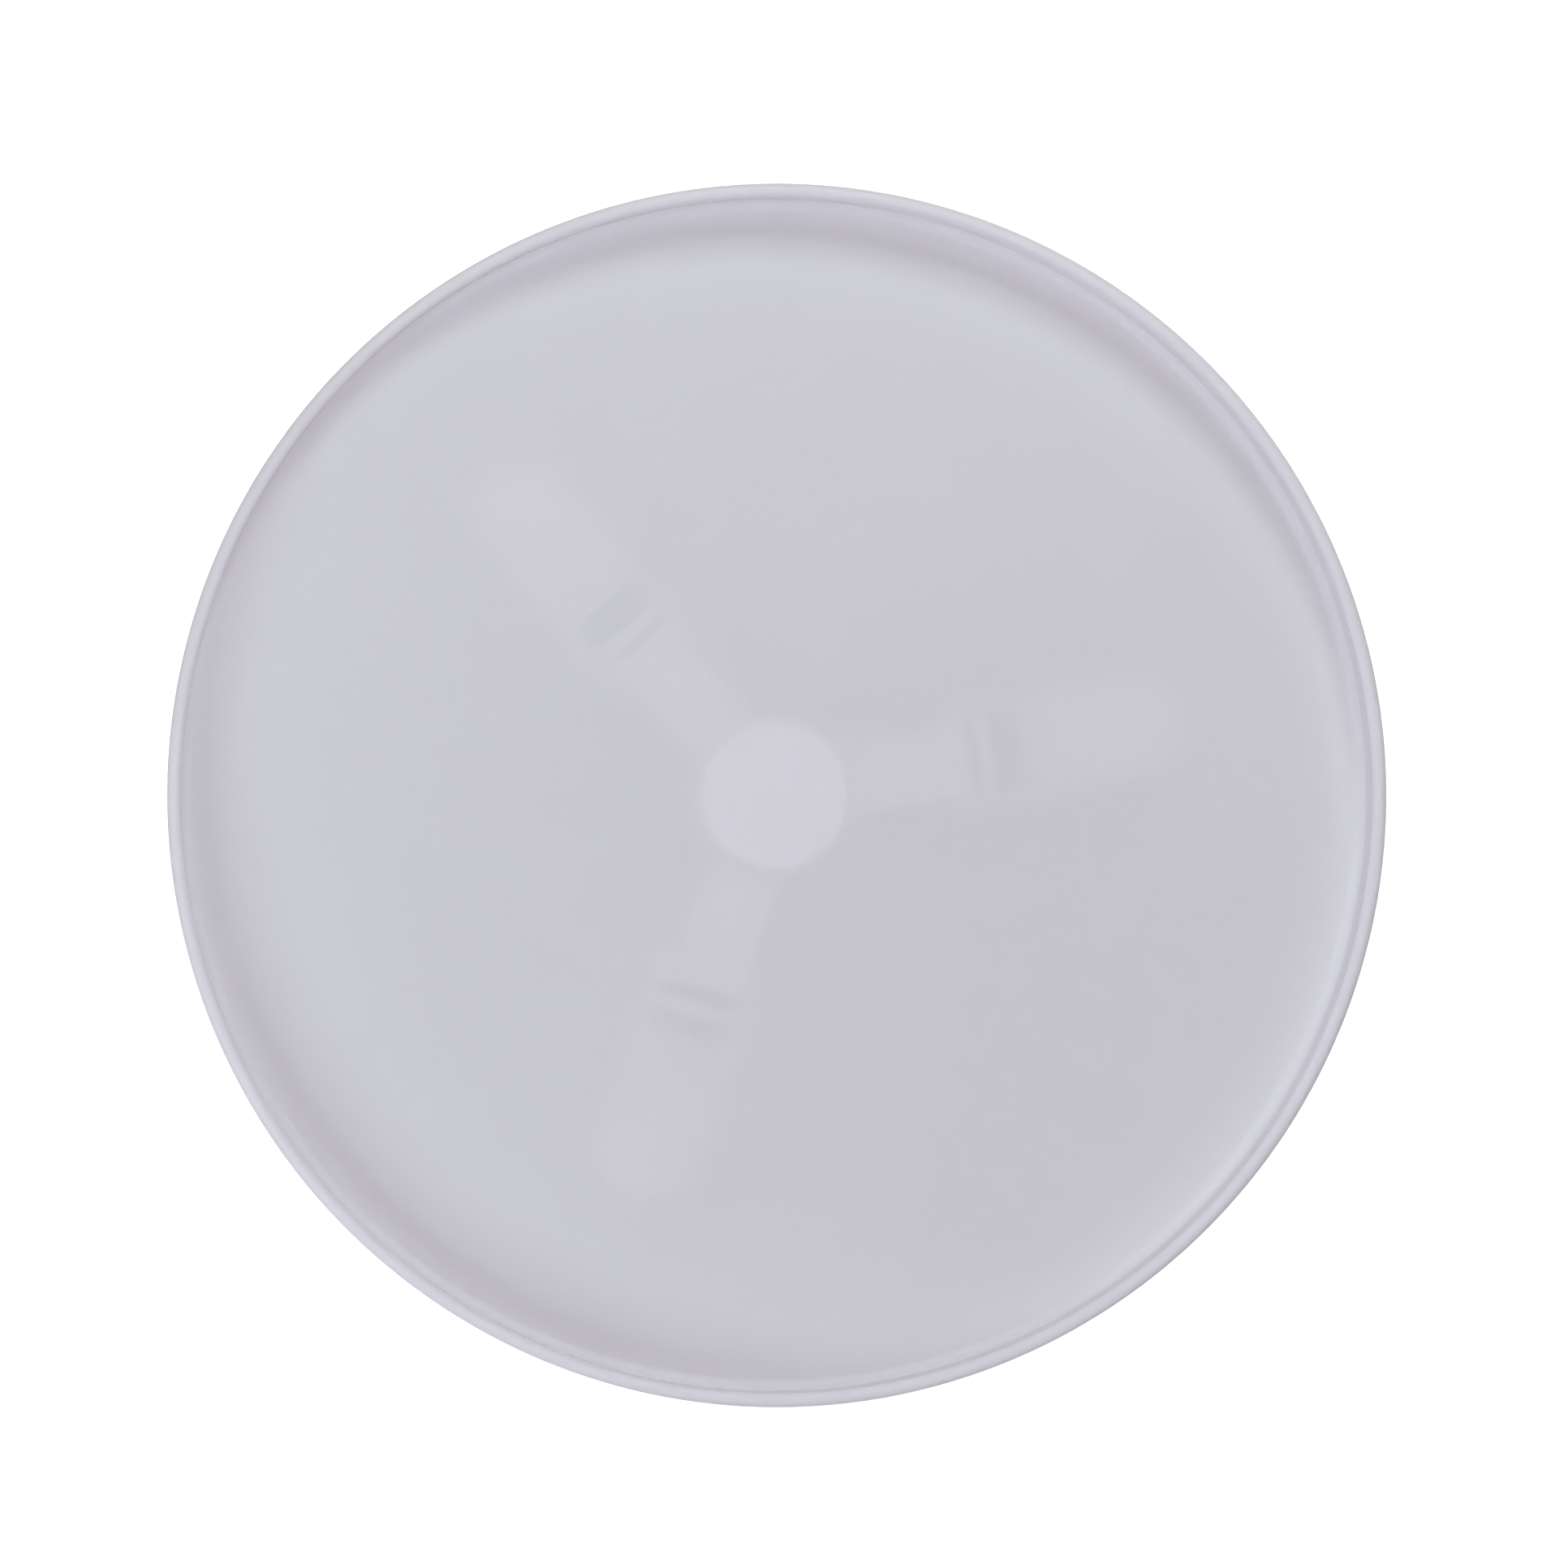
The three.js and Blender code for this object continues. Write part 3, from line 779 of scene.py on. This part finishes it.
def moulded_rubber(name, dark, light, pore_mm, roughness):
    material, tree, shader = new_material(name)
    at = add(tree, "ShaderNodeTexCoord").outputs["Object"]
    bloom = add(tree, "ShaderNodeTexNoise", {"Vector": at, "Scale": per_metre(6), "Detail": 4.0})
    pores = add(tree, "ShaderNodeTexNoise", {"Vector": at, "Scale": per_metre(pore_mm), "Detail": 2.0})
    edge = add(tree, "ShaderNodeAttribute", attribute_name="edge").outputs["Fac"]
    colour = add(
        tree,
        "ShaderNodeMix",
        {SHARE: bloom.outputs["Fac"], FIRST: linear(dark), SECOND: linear(light)},
        data_type="RGBA",
    )
    dull = add(
        tree,
        "ShaderNodeMapRange",
        {
            "Value": bloom.outputs["Fac"],
            "To Min": roughness - BLOOM_DULLS,
            "To Max": roughness + BLOOM_DULLS,
        },
    )
    worn = add(
        tree,
        "ShaderNodeMath",
        {0: edge, 1: WORN_GLOSS, 2: dull.outputs["Result"]},
        operation="MULTIPLY_ADD",
    )
    skin = add(
        tree,
        "ShaderNodeBump",
        {"Height": pores.outputs["Fac"], "Strength": 0.5, "Distance": 0.05 * MM},
    )
    tree.links.new(colour.outputs[MIXED], shader.inputs["Base Color"])
    tree.links.new(worn.outputs[0], shader.inputs["Roughness"])
    tree.links.new(skin.outputs["Normal"], shader.inputs["Normal"])
    shader.inputs["IOR"].default_value = 1.52
    return material


# %% [markdown]
# ## Ground steel: pin, clips, screw, washer and axles
#
# Ground and lightly oiled steel. The grinding wheel leaves lines round the piece that stretch its
# highlights across them, and the sheen varies a little from one line to the next. The axles get a
# far darker tone, which is painted shade: it stands in for the shade deep in the roller slots.

# %% Ground steel
def ground_steel(name, dark, light):
    material, tree, shader = new_material(name)
    # Real grinding lines lie closer together, and are drawn 0.12 mm apart so that they show.
    lines, marks = tool_marks(tree, spacing_mm=0.12, strength=0.35, depth_mm=0.01)
    at = add(tree, "ShaderNodeTexCoord").outputs["Object"]
    oil = add(tree, "ShaderNodeTexNoise", {"Vector": at, "Scale": per_metre(5), "Detail": 2.0})
    colour = add(
        tree,
        "ShaderNodeMix",
        {SHARE: oil.outputs["Fac"], FIRST: linear(dark), SECOND: linear(light)},
        data_type="RGBA",
    )
    gloss = add(tree, "ShaderNodeMapRange", {"Value": lines, "To Min": 0.2, "To Max": 0.34})
    tree.links.new(colour.outputs[MIXED], shader.inputs["Base Color"])
    tree.links.new(gloss.outputs["Result"], shader.inputs["Roughness"])
    tree.links.new(marks, shader.inputs["Normal"])
    shader.inputs["Metallic"].default_value = 1.0
    return material


# %% [markdown]
# ## Give each piece its finish
#
# The record names a material slot for every node, and a fine piece takes the slot of the node that
# it stands for. One table goes from slot to material, and a second, short one holds the pieces
# with a tone of their own: the bright hub disc, and the wheels and axles, darkened as painted
# shade for the roller slots. Its keys leave out the arm's number.

# %% Finishes on the pieces
finishes = {
    "frosted_plastic": frosted_polypropylene(),
    "white_plastic": moulded_abs("white_abs_moulded", "D2D1D5", "D9D8DC"),
    "slippery_plastic": turned_acetal(),
    "tyre_rubber": moulded_rubber("soft_tyre_rubber", "C0C0C4", "CACACE", pore_mm=0.3, roughness=0.7),
    "foot_rubber": moulded_rubber("foot_rubber", "85858B", "96969C", pore_mm=0.3, roughness=0.82),
    "bright_steel": ground_steel("steel_ground", "BDBFC2", "C9CACC"),
}
own_finishes = {
    "tray_hub_disc": moulded_abs("bright_white_abs_moulded", "FAF9FC", "FDFCFE"),
    # The wheels' dark grey is painted shade, standing in for the shade in the roller slots.
    "roller_wheel": moulded_abs("abs_moulded_dark_as_painted_slot_shade", "3C3C40", "444448"),
    # The axles' dark tone is painted shade, standing in for the shade in the roller slots.
    "roller_axle": ground_steel("steel_ground_dark_as_painted_slot_shade", "4B4B4E", "5A5A5C"),
}
for node, slot in slot_of.items():
    shown = bpy.data.objects.get(node + "_fine") or frame["nodes"][node]
    kind = node.rstrip("_123")
    shown.data.materials.clear()
    shown.data.materials.append(own_finishes.get(kind, finishes[slot]))
print("finished", len(slot_of), "pieces with", len(finishes) + len(own_finishes), "materials")

# %% [markdown]
# ## Floor and light
#
# The turntable stands on a plain floor that runs on far beyond it. The paper is mid grey where the
# tray covers it, and glows white beyond the tray, so that the outline stands clear. The glow is
# strong only when it is looked at directly, and as a lamp it adds little.
#
# An even, faintly pink sky gives a bit under half of the light. Two slightly cool soft boxes give
# the rest, one higher and narrower than the other. They stand a metre away, so that their light
# falls off across the tray, and each throws the rim's soft shadow as a crescent on its floor.

# %% Floor
FLOOR_HALF = 4.0
GLOW_STARTS = (tray_radius - 14.5) * MM
GLOW_FULL = (tray_radius + 0.5) * MM
GLOW_AS_LAMP = 0.22
GLOW_SEEN = 1.1
WHITE = (1.0, 1.0, 1.0, 1.0)
floor_mesh = bpy.data.meshes.new("studio_floor")
signs = ((-1, -1), (1, -1), (1, 1), (-1, 1))
floor_mesh.from_pydata([(FLOOR_HALF * x, FLOOR_HALF * y, 0) for x, y in signs], [], [(0, 1, 2, 3)])
floor = bpy.data.objects.new("studio_floor", floor_mesh)
bpy.context.scene.collection.objects.link(floor)
floor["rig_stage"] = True
paper, paper_tree, paper_shader = new_material("white_paper_floor")
paper_shader.inputs["Base Color"].default_value = linear("959595")
paper_shader.inputs["Roughness"].default_value = 0.9
at = add(paper_tree, "ShaderNodeTexCoord").outputs["Object"]
away = add(paper_tree, "ShaderNodeVectorMath", {0: at}, operation="LENGTH")
beyond = add(
    paper_tree,
    "ShaderNodeMapRange",
    {"Value": away.outputs["Value"], "From Min": GLOW_STARTS, "From Max": GLOW_FULL},
    interpolation_type="SMOOTHSTEP",
)
seen = add(paper_tree, "ShaderNodeLightPath").outputs["Is Camera Ray"]
glow = add(
    paper_tree,
    "ShaderNodeMapRange",
    {"Value": seen, "To Min": GLOW_AS_LAMP, "To Max": GLOW_SEEN},
)
lit = add(
    paper_tree,
    "ShaderNodeMath",
    {0: beyond.outputs["Result"], 1: glow.outputs["Result"]},
    operation="MULTIPLY",
)
paper_shader.inputs["Emission Color"].default_value = WHITE
paper_tree.links.new(lit.outputs[0], paper_shader.inputs["Emission Strength"])
floor_mesh.materials.append(paper)

# %% [markdown]
# ## Sky and soft boxes
#
# The sky itself is never seen: where the camera looks past the floor there is a white backdrop.

# %% Sky and soft boxes
SKY = 0.505
SKY_COLOUR = (1.0, 0.845, 0.87, 1.0)
BACKDROP = 1.0
world = bpy.data.worlds.new("studio_sky")
world.use_nodes = True
sky = world.node_tree
backdrop = add(sky, "ShaderNodeLightPath").outputs["Is Camera Ray"]
shown_colour = add(
    sky,
    "ShaderNodeMix",
    {SHARE: backdrop, FIRST: SKY_COLOUR, SECOND: WHITE},
    data_type="RGBA",
)
shown_level = add(sky, "ShaderNodeMapRange", {"Value": backdrop, "To Min": SKY, "To Max": BACKDROP})
sky.links.new(shown_colour.outputs[MIXED], sky.nodes["Background"].inputs["Color"])
sky.links.new(shown_level.outputs["Result"], sky.nodes["Background"].inputs["Strength"])
bpy.context.scene.world = world


def soft_box(name, azimuth, elevation, distance, spread, level, card):
    """A square lamp at this bearing and height from the tray, facing it. It looks `spread` degrees
    wide from there. A white card on the tray would be `level` times as bright as a full white:
    a flat lamp of W watts gives W / (pi * distance ** 2) straight ahead, the card takes the sine
    of the elevation of that, and sends back 1 / pi of it."""
    across, up = math.radians(azimuth), math.radians(elevation)
    aim = Vector((0, 0, floor_top * MM))
    towards = Vector((math.cos(across) * math.cos(up), math.sin(across) * math.cos(up), math.sin(up)))
    lamp = bpy.data.lights.new(name, "AREA")
    lamp.shape = "SQUARE"
    lamp.size = 2 * distance * math.tan(math.radians(spread) / 2)
    lamp.energy = level * math.pi * math.pi * distance ** 2 / math.sin(up)
    lamp.color = linear(card)[:3]
    box = bpy.data.objects.new(name, lamp)
    box.location = aim + towards * distance
    box.rotation_euler = towards.to_track_quat("Z", "Y").to_euler()
    bpy.context.scene.collection.objects.link(box)


soft_box("high_soft_box", azimuth=76, elevation=44, distance=1.0, spread=18, level=0.33, card="EDFFFA")
soft_box("low_soft_box", azimuth=218, elevation=38, distance=1.0, spread=30, level=0.34, card="E2F9FF")
bpy.context.scene.view_settings.view_transform = "Standard"

# %% [markdown]
# ## Camera
#
# It looks almost straight down, leaning five degrees to one side, from far enough away that the
# rim's near and far walls look alike. It aims a few millimetres off the tray's middle, because
# the lean makes the outline look longer on one side of it.

# %% Camera
LEAN = math.radians(5.0)
RANGE = 2.5
FILM_WIDTH = 36
FOCAL_LENGTH = 230.6
FAR_LIMIT = 50
AIM_X, AIM_Y = 0.85, 3.83
lens = bpy.data.cameras.new("camera")
lens.sensor_width = FILM_WIDTH
lens.lens = FOCAL_LENGTH
lens.clip_end = FAR_LIMIT
camera = bpy.data.objects.new("camera", lens)
bpy.context.scene.collection.objects.link(camera)
aim = Vector((AIM_X, AIM_Y, rim_top)) * MM
spot = Vector((-RANGE * math.sin(LEAN), 0, rim_top * MM + RANGE * math.cos(LEAN)))
back = (spot - aim).normalized()
right = Vector((0, 1, 0)).cross(back).normalized()
turn = Matrix((right, back.cross(right), back)).transposed().to_4x4()
camera.matrix_world = Matrix.Translation(spot) @ turn
bpy.context.scene.camera = camera
print(f"camera {RANGE} m away, {math.degrees(LEAN):.0f} degrees from straight down")

# %% [markdown]
# ## The object's size
#
# The box round the imported model and the box round the fine pieces are both printed.

bpy.context.view_layer.update()
visual_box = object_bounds()
for name, box in (("packed", cad_box), ("visual", visual_box)):
    print(name, [round(value / MM, 2) for corner in box for value in corner])
